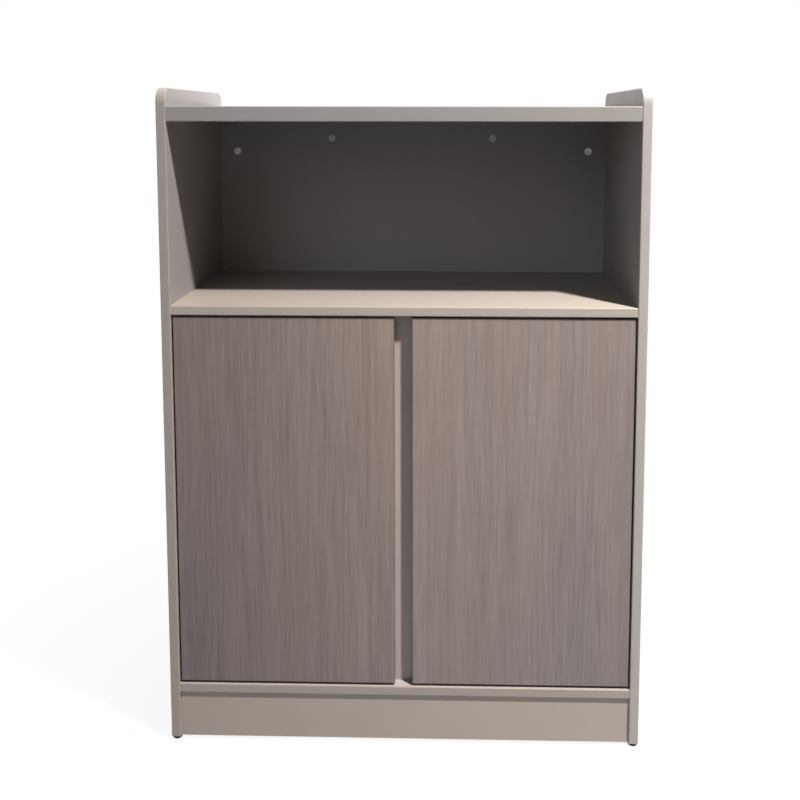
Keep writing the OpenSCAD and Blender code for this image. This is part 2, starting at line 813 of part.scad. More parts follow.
module door_right() { right_side() door_core(); }
module door_right_edging() { right_side() door_edging(); }
module hinge_cups_right() { right_side() hinge_cups_left(); }
module cup_screws_right() { right_side() cup_screws_left(); }
module cup_pins_right() { right_side() cup_pins_left(); }
module door_bumpers_right() { right_side() door_bumpers_left(); }

side_panel_left();
side_panel_right();
side_edging_left();
side_edging_right();
top_board();
top_board_edging();
fixed_shelf();
fixed_shelf_edging();
bottom_board();
bottom_board_edging();
back_panel();
centre_stile();
centre_stile_edging();
front_plinth();
rear_plinth();
cams_back_panel();
cams_boards();
cam_bolts();
wooden_dowels();
glides();
glide_nails();
shelf_pins();
adjustable_shelf();
adjustable_shelf_edging();
hinge_plates();
hinge_plate_screws();
hinge_arms();
hinge_arm_screws();
hinge_arm_pins();
outer_links_left();
inner_links_left();
outer_links_right();
inner_links_right();
door_left();
door_left_edging();
hinge_cups_left();
cup_screws_left();
cup_pins_left();
door_bumpers_left();
door_right();
door_right_edging();
hinge_cups_right();
cup_screws_right();
cup_pins_right();
door_bumpers_right();
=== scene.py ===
import math

import bmesh
import bpy
from mathutils import Matrix, Vector


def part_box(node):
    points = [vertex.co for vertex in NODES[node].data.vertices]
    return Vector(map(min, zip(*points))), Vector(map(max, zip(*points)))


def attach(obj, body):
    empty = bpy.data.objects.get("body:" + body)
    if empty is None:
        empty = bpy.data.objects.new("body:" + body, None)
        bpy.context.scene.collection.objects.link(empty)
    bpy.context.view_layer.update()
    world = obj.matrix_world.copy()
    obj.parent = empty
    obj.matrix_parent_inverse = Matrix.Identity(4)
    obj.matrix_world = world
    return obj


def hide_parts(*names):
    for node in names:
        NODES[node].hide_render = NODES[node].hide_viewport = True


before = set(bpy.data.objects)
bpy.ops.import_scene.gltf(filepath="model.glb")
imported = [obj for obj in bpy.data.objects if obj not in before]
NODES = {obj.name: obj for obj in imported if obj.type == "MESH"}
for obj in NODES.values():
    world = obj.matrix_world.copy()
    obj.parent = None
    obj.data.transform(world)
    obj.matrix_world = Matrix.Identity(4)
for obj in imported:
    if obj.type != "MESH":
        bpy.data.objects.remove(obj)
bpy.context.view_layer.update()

MM = 0.001
AXES = (0, 1, 2)
X_AXIS, Y_AXIS, Z_AXIS = AXES
RIGHT, REAR, UP, DOWN = Vector((1, 0, 0)), Vector((0, 1, 0)), Vector((0, 0, 1)), Vector((0, 0, -1))
SIDES = ("left", "right")
WHITE = (1.0, 1.0, 1.0, 1.0)


# Small helpers for node trees

FLOAT, VECTOR, COLOUR = "NodeSocketFloat", "NodeSocketVector", "NodeSocketColor"
GEOMETRY, COUNT, FINISH = "NodeSocketGeometry", "NodeSocketInt", "NodeSocketMaterial"
# The part of a noise pattern's range in which most of its values lie
TONE_LOW, TONE_HIGH = 0.3, 0.7


def add(tree, kind, inputs=None, **settings):
    """Adds a node, sets its options, and fills or links its inputs."""
    node = tree.nodes.new(kind)
    for name, value in settings.items():
        setattr(node, name, value)
    for name, value in (inputs or {}).items():
        if isinstance(value, bpy.types.NodeSocket):
            tree.links.new(value, node.inputs[name])
        else:
            node.inputs[name].default_value = value
    return node


def maths(tree, operation, first, second=0.0, third=0.0):
    """A Math node's result."""
    return add(tree, "ShaderNodeMath", {0: first, 1: second, 2: third}, operation=operation).outputs[0]


def weighted(tree, first, first_share, second, second_share):
    """Sum of two values, each times its share."""
    return maths(tree, "MULTIPLY_ADD", first, first_share, maths(tree, "MULTIPLY", second, second_share))


def remap(tree, value, low, high, to_low=0.0, to_high=1.0):
    """A value's range mapped to another, clamped."""
    node = add(tree, "ShaderNodeMapRange", {
        "Value": value, "From Min": low, "From Max": high, "To Min": to_low, "To Max": to_high,
    })
    return node.outputs["Result"]


def by_tone(tree, tone, at_dark, at_light):
    """A value that goes from one number to another as a noise pattern goes from dark to light."""
    return remap(tree, tone, TONE_LOW, TONE_HIGH, at_dark, at_light)


def mix_colour(tree, factor, first, second, blend="MIX"):
    """Two colours mixed by a factor."""
    node = add(tree, "ShaderNodeMix", {"Factor": factor}, data_type="RGBA", blend_type=blend)
    for name, value in (("A", first), ("B", second)):
        socket = next(s for s in node.inputs if s.name == name and s.type == "RGBA")
        if isinstance(value, bpy.types.NodeSocket):
            tree.links.new(value, socket)
        else:
            socket.default_value = value
    return next(s for s in node.outputs if s.type == "RGBA")


def times(tree, colour, tone):
    """A colour multiplied by a tone."""
    return mix_colour(tree, 1.0, colour, tone, "MULTIPLY")


def noise(tree, vector, scale, detail=2.0, roughness=0.5):
    """A noise pattern's value."""
    return add(tree, "ShaderNodeTexNoise", {
        "Vector": vector, "Scale": scale, "Detail": detail, "Roughness": roughness,
    }).outputs[0]


def stretch(tree, vector, scale):
    """Coordinates scaled by a different amount along each axis."""
    return add(tree, "ShaderNodeMapping", {"Vector": vector, "Scale": scale}).outputs[0]


def long_noise(tree, vector, scales, detail=2.0, roughness=0.5):
    """A noise pattern that repeats more closely along some axes than along others."""
    return noise(tree, stretch(tree, vector, scales), 1.0, detail, roughness)


def parts_of(tree, vector):
    """A vector's X, Y and Z."""
    return add(tree, "ShaderNodeSeparateXYZ", {0: vector}).outputs


def vector_of(tree, x=0.0, y=0.0, z=0.0):
    """A vector made from its X, Y and Z."""
    return add(tree, "ShaderNodeCombineXYZ", {"X": x, "Y": y, "Z": z}).outputs[0]


def srgb(red, green, blue):
    """Linear colour of an sRGB colour given in 0 to 255."""
    def linear(level):
        level /= 255
        return level / 12.92 if level <= 0.04045 else ((level + 0.055) / 1.055) ** 2.4
    return (linear(red), linear(green), linear(blue), 1.0)


def group(name, inputs, outputs, kind="ShaderNodeTree"):
    """An empty node group with its sockets: lists of (name, type, default) and (name, type)."""
    tree = bpy.data.node_groups.new(name, kind)
    for label, socket_type, default in inputs:
        socket = tree.interface.new_socket(label, in_out="INPUT", socket_type=socket_type)
        if default is not None:
            socket.default_value = default
    for label, socket_type in outputs:
        tree.interface.new_socket(label, in_out="OUTPUT", socket_type=socket_type)
    given = tree.nodes.new("NodeGroupInput").outputs
    result = tree.nodes.new("NodeGroupOutput").inputs
    return tree, given, result


def use_group(tree, made, inputs):
    """Places a node group in a material."""
    return add(tree, "ShaderNodeGroup", inputs, node_tree=made).outputs


# Effects that several finishes share. A scale says how closely a pattern repeats, per metre.

MELAMINE_GRAIN = 1600.0
MELAMINE_MOTTLE = 9.0
SPECKLE_SCALE = 700.0
SPECKLE_SHARE, MOTTLE_SHARE = 0.35, 0.65

FLAKE_STRETCH = (1.0, 1.0, 2.2)
FLAKE_SCALE = 420.0
FLAKE_DARK = srgb(128, 96, 64)
FLAKE_PALE = srgb(199, 167, 124)

# Thickness of a board's face and edging that the raw inside starts behind
SKIN = 0.25 * MM

# Layers of the wood grain, which runs along Z
WANDER_SCALES = (6.0, 6.0, 1.6)
BAND_SCALES = (38.0, 38.0, 1.4)
STREAK_SCALES = (190.0, 190.0, 6.0)
LINE_SCALES = (440.0, 440.0, 14.0)
PORE_SCALES = (1500.0, 1500.0, 34.0)
WARMTH_SCALES = (14.0, 14.0, 1.2)
BAND_SHARE, STREAK_SHARE, LINE_SHARE = 0.24, 0.42, 0.34
GRAIN_RANGE = (0.34, 0.66)
PORE_RANGE = (0.62, 0.72)
WARMTH_RANGE = (0.35, 0.65)

DULL_PATCH_SCALE = 260.0
POLISH_SCALES = (900.0, 900.0, 5200.0)
POLISH_SHARE, PATCH_SHARE = 0.4, 0.6


def make_pearl():
    """Fine hammered texture of melamine and edging, with a faint mottling."""
    tree, given, result = group("pearl_texture", [
        ("Vector", VECTOR, None), ("Grain", FLOAT, MELAMINE_GRAIN), ("Mottle", FLOAT, MELAMINE_MOTTLE),
    ], [("Height", FLOAT), ("Tone", FLOAT)])
    fine = noise(tree, given["Vector"], given["Grain"], detail=3.0, roughness=0.6)
    broad = noise(tree, given["Vector"], given["Mottle"], detail=4.0, roughness=0.55)
    speckle = noise(tree, given["Vector"], SPECKLE_SCALE, detail=1.0)
    tree.links.new(fine, result["Height"])
    tree.links.new(weighted(tree, speckle, SPECKLE_SHARE, broad, MOTTLE_SHARE), result["Tone"])
    return tree


def make_raw_board():
    """Pressed wood flakes, as the inside of a chipboard shows them."""
    tree, given, result = group("raw_board", [("Vector", VECTOR, None)],
                                [("Color", COLOUR), ("Height", FLOAT)])
    flakes = add(tree, "ShaderNodeTexVoronoi", {
        "Vector": stretch(tree, given["Vector"], FLAKE_STRETCH), "Scale": FLAKE_SCALE,
    })
    tone = add(tree, "ShaderNodeSeparateColor", {0: flakes.outputs["Color"]}).outputs[0]
    tree.links.new(mix_colour(tree, tone, FLAKE_DARK, FLAKE_PALE), result["Color"])
    tree.links.new(flakes.outputs["Distance"], result["Height"])
    return tree


def make_inside_mask():
    """1 where a coordinate lies between two faces of a board, away from its skin."""
    tree, given, result = group("inside_board", [
        ("Coordinate", FLOAT, 0.0), ("Low Face", FLOAT, 0.0), ("High Face", FLOAT, 1.0),
        ("Skin", FLOAT, SKIN),
    ], [("Mask", FLOAT)])
    lower = maths(tree, "ADD", given["Low Face"], given["Skin"])
    upper = maths(tree, "SUBTRACT", given["High Face"], given["Skin"])
    above = maths(tree, "GREATER_THAN", given["Coordinate"], lower)
    below = maths(tree, "LESS_THAN", given["Coordinate"], upper)
    tree.links.new(maths(tree, "MULTIPLY", above, below), result["Mask"])
    return tree


def make_upright_grain():
    """Straight wood grain along Z: broad bands, streaks, fine lines and short open pores."""
    tree, given, result = group("upright_grain", [("Vector", VECTOR, None), ("Wander", FLOAT, 0.012)],
                                [("Tone", FLOAT), ("Pores", FLOAT), ("Warmth", FLOAT)])
    wander = long_noise(tree, given["Vector"], WANDER_SCALES)
    shift = maths(tree, "MULTIPLY", maths(tree, "SUBTRACT", wander, 0.5), given["Wander"])
    flowing = add(tree, "ShaderNodeVectorMath", {
        0: given["Vector"], 1: vector_of(tree, x=shift),
    }, operation="ADD").outputs[0]
    bands = long_noise(tree, flowing, BAND_SCALES)
    streaks = long_noise(tree, flowing, STREAK_SCALES, detail=3.0, roughness=0.6)
    lines = long_noise(tree, flowing, LINE_SCALES, detail=3.0, roughness=0.6)
    tone = weighted(tree, bands, BAND_SHARE, streaks, STREAK_SHARE)
    tone = maths(tree, "MULTIPLY_ADD", lines, LINE_SHARE, tone)
    pores = long_noise(tree, flowing, PORE_SCALES, detail=1.0)
    warmth = long_noise(tree, flowing, WARMTH_SCALES, detail=1.0)
    tree.links.new(remap(tree, tone, *GRAIN_RANGE), result["Tone"])
    tree.links.new(remap(tree, pores, *PORE_RANGE), result["Pores"])
    tree.links.new(remap(tree, warmth, *WARMTH_RANGE), result["Warmth"])
    return tree


def make_metal_wear():
    """Faint polishing marks and dull patches on plated metal."""
    tree, given, result = group("metal_wear", [("Vector", VECTOR, None), ("Marks", FLOAT, 1.0)],
                                [("Dullness", FLOAT), ("Height", FLOAT)])
    patches = noise(tree, given["Vector"], DULL_PATCH_SCALE, detail=3.0, roughness=0.6)
    marks = long_noise(tree, given["Vector"], POLISH_SCALES)
    tree.links.new(weighted(tree, marks, POLISH_SHARE, patches, PATCH_SHARE), result["Dullness"])
    tree.links.new(maths(tree, "MULTIPLY", marks, given["Marks"]), result["Height"])
    return tree


PEARL = make_pearl()
RAW_BOARD = make_raw_board()
INSIDE_BOARD = make_inside_mask()
UPRIGHT_GRAIN = make_upright_grain()
METAL_WEAR = make_metal_wear()


# Finishes

BOARD_SPECULAR = 0.15
EDGING_SPECULAR = 0.25

# Roughness where a finish is darkest and where it is lightest
BOARD_ROUGHNESS = (0.5, 0.42)
EDGING_ROUGHNESS = (0.42, 0.34)
DOOR_ROUGHNESS = (0.56, 0.46)
DOOR_EDGING_ROUGHNESS = (0.5, 0.4)
BEECH_ROUGHNESS = (0.62, 0.72)
# How much rougher the raw inside is than the face of a board
BOARD_RAW_ROUGHER = 0.4
DOOR_RAW_ROUGHER = 0.35

# Height and strength of the relief
BOARD_RELIEF = (0.05 * MM, 0.5)
EDGING_RELIEF = (0.03 * MM, 0.4)
DOOR_RELIEF = (0.09 * MM, 0.7)
DOOR_EDGING_RELIEF = (0.05 * MM, 0.5)
METAL_RELIEF = (0.02 * MM, 0.4)
PLASTIC_RELIEF = (0.04 * MM, 0.5)
BEECH_RELIEF = (0.05 * MM, 0.5)
PORE_DEPTH, GRAIN_RISE = -0.6, 0.5

GREIGE_DARK = srgb(157, 150, 143)
GREIGE_LIGHT = srgb(167, 159, 153)
EDGING_DARK = srgb(159, 153, 147)
EDGING_LIGHT = srgb(167, 160, 155)
OAK_DEEP = srgb(120, 109, 107)
OAK_PALE = srgb(153, 141, 138)
OAK_WARM = srgb(147, 130, 124)
OAK_PORE = srgb(93, 84, 82)
WARM_SHARE = 0.4
PORE_SHARE = 0.2
BEECH_DARK = srgb(186, 148, 106)
BEECH_PALE = srgb(222, 190, 146)
BEECH_SCALES = (300.0, 1600.0, 1600.0)
EDGING_GRAIN, EDGING_MOTTLE = 2300.0, 14.0
PLASTIC_GRAIN, PLASTIC_MOTTLE = 2600.0, 180.0

PLAIN = (1.0, 1.0, 1.0)
# How far a board or strip differs from the others in tone; several of these factors are painted light and
# shade, as noted below
TONES_AND_PAINTED_LIGHT = {
    "side_panel_left": (0.9, 0.92, 0.98), "side_panel_right": (0.9, 0.92, 0.98),
    # painted light: the fixed shelf, front plinth, bottom board and centre stile made lighter in place of
    # light that the lamps don't give them
    "fixed_shelf": (1.13, 1.1, 1.07),
    "front_plinth": (1.19, 1.14, 1.11), "bottom_board": (1.2, 1.2, 1.2),
    "centre_stile": (1.34, 1.31, 1.3),
    # painted light and shade: the right side edging lighter and the left one darker, as the lamp on the right
    # lights them
    "side_edging_left": (0.985, 0.935, 0.89), "side_edging_right": (1.09, 1.12, 1.115),
    "top_board_edging": (0.82, 0.84, 0.86), "fixed_shelf_edging": (1.16, 1.13, 1.07),
    "bottom_board_edging": (0.99, 0.95, 0.925),
    # painted shade: the left door darker, as it lies farther from the lamp on the right
    "door_left": (0.91, 0.9, 0.895), "door_left_edging": (0.6, 0.57, 0.54),
    "door_right": (1.0, 1.02, 1.03), "door_right_edging": (0.6, 0.57, 0.54),
}


def new_material(name):
    """A material with its Principled shader and the object's coordinates."""
    material = bpy.data.materials.new(name)
    material.use_nodes = True
    tree = material.node_tree
    shader = next(n for n in tree.nodes if n.type == "BSDF_PRINCIPLED")
    place = add(tree, "ShaderNodeTexCoord").outputs["Object"]
    shader.inputs["Specular IOR Level"].default_value = BOARD_SPECULAR
    return material, tree, shader, place


def set_surface(tree, shader, colour, roughness, height, relief):
    """Feeds the shader's colour, roughness and normal; relief is its height in metres and strength."""
    distance, strength = relief
    bump = add(tree, "ShaderNodeBump", {"Height": height, "Distance": distance, "Strength": strength})
    tree.links.new(colour, shader.inputs["Base Color"])
    tree.links.new(roughness, shader.inputs["Roughness"])
    tree.links.new(bump.outputs[0], shader.inputs["Normal"])


def inside_of(tree, place, node, axis):
    """Mask of the raw inside of a board: bores and cut ends between its two faces."""
    low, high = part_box(node)
    return use_group(tree, INSIDE_BOARD, {
        "Coordinate": parts_of(tree, place)[axis], "Low Face": low[axis], "High Face": high[axis],
    })["Mask"]


def toned_with_painted_light(colour, node):
    """A colour in the tone of one board or strip, with painted light and shade on some of them."""
    return tuple(c * t for c, t in zip(colour, TONES_AND_PAINTED_LIGHT.get(node, PLAIN))) + (1.0,)


LOW_FACE, HIGH_FACE = "LESS_THAN", "GREATER_THAN"
# Painted light and shade on boards' faces in the open compartment: the back panel lighter at the bottom and
# darker at the top, the fixed shelf lighter at the front and darker at the rear. Columns: which face, along
# which axis, from where and to where, and the tone at each end
PAINTED_LIGHT_DRIFTS = {
    "back_panel": (LOW_FACE, Z_AXIS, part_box("fixed_shelf")[1][Z_AXIS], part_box("top_board")[0][Z_AXIS],
                   (1.31, 1.27, 1.26, 1.0), (0.71, 0.8, 0.99, 1.0)),
    "fixed_shelf": (HIGH_FACE, Y_AXIS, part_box("fixed_shelf")[0][Y_AXIS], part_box("back_panel")[0][Y_AXIS],
                    (1.1, 1.1, 1.07, 1.0), (0.74, 0.75, 0.78, 1.0)),
}


def with_painted_compartment_light(tree, colour, place, node, axis):
    """A board's colour, with painted light and shade drifting over its face in the open compartment."""
    if node not in PAINTED_LIGHT_DRIFTS:
        return colour
    face, along, start, end, first, last = PAINTED_LIGHT_DRIFTS[node]
    place_parts = parts_of(tree, place)
    share = remap(tree, place_parts[along], start, end)
    painted_light_colour = times(tree, colour, mix_colour(tree, share, first, last))
    low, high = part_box(node)
    on_face = maths(tree, face, place_parts[axis], (low[axis] + high[axis]) / 2)
    return mix_colour(tree, on_face, colour, painted_light_colour)


def greige_board(node, axis):
    """Greige melamine board; axis is the one across its thickness."""
    material, tree, shader, place = new_material("greige_" + node)
    pearl = use_group(tree, PEARL, {"Vector": place})
    raw = use_group(tree, RAW_BOARD, {"Vector": place})
    inside = inside_of(tree, place, node, axis)
    colour = mix_colour(tree, pearl["Tone"], toned_with_painted_light(GREIGE_DARK, node), toned_with_painted_light(GREIGE_LIGHT, node))
    # painted light and shade on the faces in the open compartment
    colour = with_painted_compartment_light(tree, colour, place, node, axis)
    colour = mix_colour(tree, inside, colour, raw["Color"])
    worn = by_tone(tree, pearl["Tone"], *BOARD_ROUGHNESS)
    roughness = maths(tree, "MULTIPLY_ADD", inside, BOARD_RAW_ROUGHER, worn)
    height = maths(tree, "MULTIPLY_ADD", inside, raw["Height"], pearl["Height"])
    set_surface(tree, shader, colour, roughness, height, BOARD_RELIEF)
    return material


def greige_edging(node):
    """Plastic edging of one greige board."""
    material, tree, shader, place = new_material("plastic_" + node)
    shader.inputs["Specular IOR Level"].default_value = EDGING_SPECULAR
    pearl = use_group(tree, PEARL, {"Vector": place, "Grain": EDGING_GRAIN, "Mottle": EDGING_MOTTLE})
    colour = mix_colour(tree, pearl["Tone"], toned_with_painted_light(EDGING_DARK, node), toned_with_painted_light(EDGING_LIGHT, node))
    roughness = by_tone(tree, pearl["Tone"], *EDGING_ROUGHNESS)
    set_surface(tree, shader, colour, roughness, pearl["Height"], EDGING_RELIEF)
    return material


# Doors: their grain's wander, and the painted light and shade between which they drift upwards and inwards:
# darker low and at the outer edge, lighter high and towards the middle
WANDER = {"left": 0.014, "right": 0.03}
PAINTED_SHADE_LOW = (0.96, 0.98, 1.02, 1.0)
PAINTED_LIGHT_HIGH = (1.13, 1.11, 1.065, 1.0)
PAINTED_SHADE_OUTER = {"left": (0.865, 0.86, 0.88, 1.0), "right": (0.92, 0.93, 0.935, 1.0)}
PAINTED_LIGHT_INNER = {"left": (1.13, 1.125, 1.08, 1.0), "right": (1.065, 1.05, 1.02, 1.0)}
DOOR_OUTER = max(abs(corner[X_AXIS]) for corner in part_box("door_left"))
DOOR_INNER = min(abs(corner[X_AXIS]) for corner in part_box("door_left"))


def with_painted_door_light(tree, colour, place, node, side):
    """A door's colour, with painted light that grows upwards and inwards."""
    low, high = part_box(node)
    place_parts = parts_of(tree, place)
    upward_share = remap(tree, place_parts["Z"], low[Z_AXIS], high[Z_AXIS])
    inward_share = remap(tree, maths(tree, "ABSOLUTE", place_parts["X"]), DOOR_OUTER, DOOR_INNER)
    colour = times(tree, colour, mix_colour(tree, upward_share, PAINTED_SHADE_LOW, PAINTED_LIGHT_HIGH))
    return times(tree, colour, mix_colour(tree, inward_share, PAINTED_SHADE_OUTER[side], PAINTED_LIGHT_INNER[side]))


def oak_colour(tree, place, node):
    """Colour of the dark taupe woodgrain with painted light and shade over the door, and the grain's tone and
    pores.
    """
    side = "left" if "left" in node else "right"
    grain = use_group(tree, UPRIGHT_GRAIN, {"Vector": place, "Wander": WANDER[side]})
    warm = maths(tree, "MULTIPLY", grain["Warmth"], WARM_SHARE)
    pores = maths(tree, "MULTIPLY", grain["Pores"], PORE_SHARE)
    colour = mix_colour(tree, grain["Tone"], toned_with_painted_light(OAK_DEEP, node), toned_with_painted_light(OAK_PALE, node))
    colour = mix_colour(tree, warm, colour, toned_with_painted_light(OAK_WARM, node))
    colour = mix_colour(tree, pores, colour, toned_with_painted_light(OAK_PORE, node))
    return with_painted_door_light(tree, colour, place, node, side), grain


def woodgrain_board(node, axis):
    """Door board faced with upright woodgrain melamine."""
    material, tree, shader, place = new_material("woodgrain_" + node)
    colour, grain = oak_colour(tree, place, node)
    raw = use_group(tree, RAW_BOARD, {"Vector": place})
    inside = inside_of(tree, place, node, axis)
    colour = mix_colour(tree, inside, colour, raw["Color"])
    gloss = remap(tree, grain["Tone"], 0.0, 1.0, *DOOR_ROUGHNESS)
    roughness = maths(tree, "MULTIPLY_ADD", inside, DOOR_RAW_ROUGHER, gloss)
    height = weighted(tree, grain["Pores"], PORE_DEPTH, grain["Tone"], GRAIN_RISE)
    set_surface(tree, shader, colour, roughness, height, DOOR_RELIEF)
    return material


def woodgrain_edging(node):
    """Thin edging of a door, with the same grain and painted light and shade."""
    material, tree, shader, place = new_material("woodgrain_" + node)
    colour, grain = oak_colour(tree, place, node)
    roughness = remap(tree, grain["Tone"], 0.0, 1.0, *DOOR_EDGING_ROUGHNESS)
    set_surface(tree, shader, colour, roughness, grain["Tone"], DOOR_EDGING_RELIEF)
    return material


# Distance from the cabinet's middle beyond which a cam gets a painted glint
OUTER_FITTINGS = 300 * MM
CAM_PAINTED_GLINT = (2.3, 2.3, 2.3, 1.0)


def plated_metal(name, bright, dull, roughness_range, painted_glint=None):
    """Plated metal between a bright and a dull colour, with a painted glint that brightens pieces near the
    sides.
    """
    material, tree, shader, place = new_material(name)
    shader.inputs["Metallic"].default_value = 1.0
    wear = use_group(tree, METAL_WEAR, {"Vector": place})
    colour = mix_colour(tree, wear["Dullness"], bright, dull)
    if painted_glint:
        sideways = maths(tree, "ABSOLUTE", parts_of(tree, place)["X"])
        outer = maths(tree, "GREATER_THAN", sideways, OUTER_FITTINGS)
        # painted glint: pieces near the sides made brighter
        colour = mix_colour(tree, outer, colour, times(tree, colour, painted_glint))
    roughness = by_tone(tree, wear["Dullness"], *roughness_range)
    set_surface(tree, shader, colour, roughness, wear["Height"], METAL_RELIEF)
    return material


def moulded_plastic(name, dark, light, roughness_range):
    """Moulded plastic with a faint grain, and its shader."""
    material, tree, shader, place = new_material(name)
    pearl = use_group(tree, PEARL, {"Vector": place, "Grain": PLASTIC_GRAIN, "Mottle": PLASTIC_MOTTLE})
    colour = mix_colour(tree, pearl["Tone"], dark, light)
    roughness = by_tone(tree, pearl["Tone"], *roughness_range)
    set_surface(tree, shader, colour, roughness, pearl["Height"], PLASTIC_RELIEF)
    return material, shader


def clear_plastic():
    """Soft clear plastic of the bumpers."""
    material, shader = moulded_plastic("clear_bumper", srgb(224, 226, 224), srgb(236, 238, 236), (0.1, 0.2))
    shader.inputs["Transmission Weight"].default_value = 0.8
    shader.inputs["IOR"].default_value = 1.48
    return material


def beech_wood():
    """Pale beech of the dowels."""
    material, tree, shader, place = new_material("beech")
    flecks = long_noise(tree, place, BEECH_SCALES)
    colour = mix_colour(tree, flecks, BEECH_DARK, BEECH_PALE)
    set_surface(tree, shader, colour, by_tone(tree, flecks, *BEECH_ROUGHNESS), flecks, BEECH_RELIEF)
    return material


ZINC = plated_metal("zinc", srgb(168, 168, 167), srgb(126, 126, 125), (0.42, 0.62))
# cam zinc darker than the other zinc, painted shade on the cams in the compartment, with a painted glint on
# those near the sides
CAM_ZINC_PAINTED_LIGHT = plated_metal("cam_zinc_painted_light", srgb(136, 136, 137), srgb(102, 102, 103), (0.42, 0.62), CAM_PAINTED_GLINT)
NICKEL = plated_metal("nickel", srgb(214, 211, 205), srgb(184, 181, 175), (0.16, 0.3))
BLACK_PLASTIC = moulded_plastic("black_plastic", srgb(24, 24, 25), srgb(40, 40, 41), (0.4, 0.5))[0]
BEECH = beech_wood()
CLEAR = clear_plastic()

# Each greige board and the axis across its thickness
GREIGE_BOARDS = {
    "side_panel_left": X_AXIS, "side_panel_right": X_AXIS, "top_board": Z_AXIS,
    "fixed_shelf": Z_AXIS, "bottom_board": Z_AXIS, "adjustable_shelf": Z_AXIS,
    "back_panel": Y_AXIS, "centre_stile": Y_AXIS, "front_plinth": Y_AXIS, "rear_plinth": Y_AXIS,
}


def dress(node, material):
    """Gives a CAD node its finish."""
    slots = NODES[node].data.materials
    slots.clear()
    slots.append(material)


def dress_frame():
    """Finishes of all CAD nodes."""
    for node, axis in GREIGE_BOARDS.items():
        dress(node, greige_board(node, axis))
    for node in NODES:
        if node in ("door_left", "door_right"):
            dress(node, woodgrain_board(node, Y_AXIS))
        elif node in ("door_left_edging", "door_right_edging"):
            dress(node, woodgrain_edging(node))
        elif "edging" in node:
            dress(node, greige_edging(node))
        elif node.startswith(("hinge", "cup")) or "link" in node:
            dress(node, NICKEL)
        elif node.startswith("cam") or node in ("glide_nails", "shelf_pins"):
            dress(node, ZINC)
        elif node.startswith("door_bumpers"):
            dress(node, CLEAR)
    dress("glides", BLACK_PLASTIC)
    dress("wooden_dowels", BEECH)


dress_frame()


# Small fittings, grown at the places of the CAD's own solids

MERGE_WITHIN = 0.002 * MM
TURN = "turn"
ROUND_SIDES = 40
SOCKET_SIDES = 6
POINTER_SIDES = 3
# Angle between two faces beyond which the edge between them stays sharp
HARD_EDGE = math.radians(32)
ZERO = (0.0, 0.0, 0.0)


def new_object(name, data):
    """An object in the scene."""
    made = bpy.data.objects.new(name, data)
    bpy.context.scene.collection.objects.link(made)
    return made


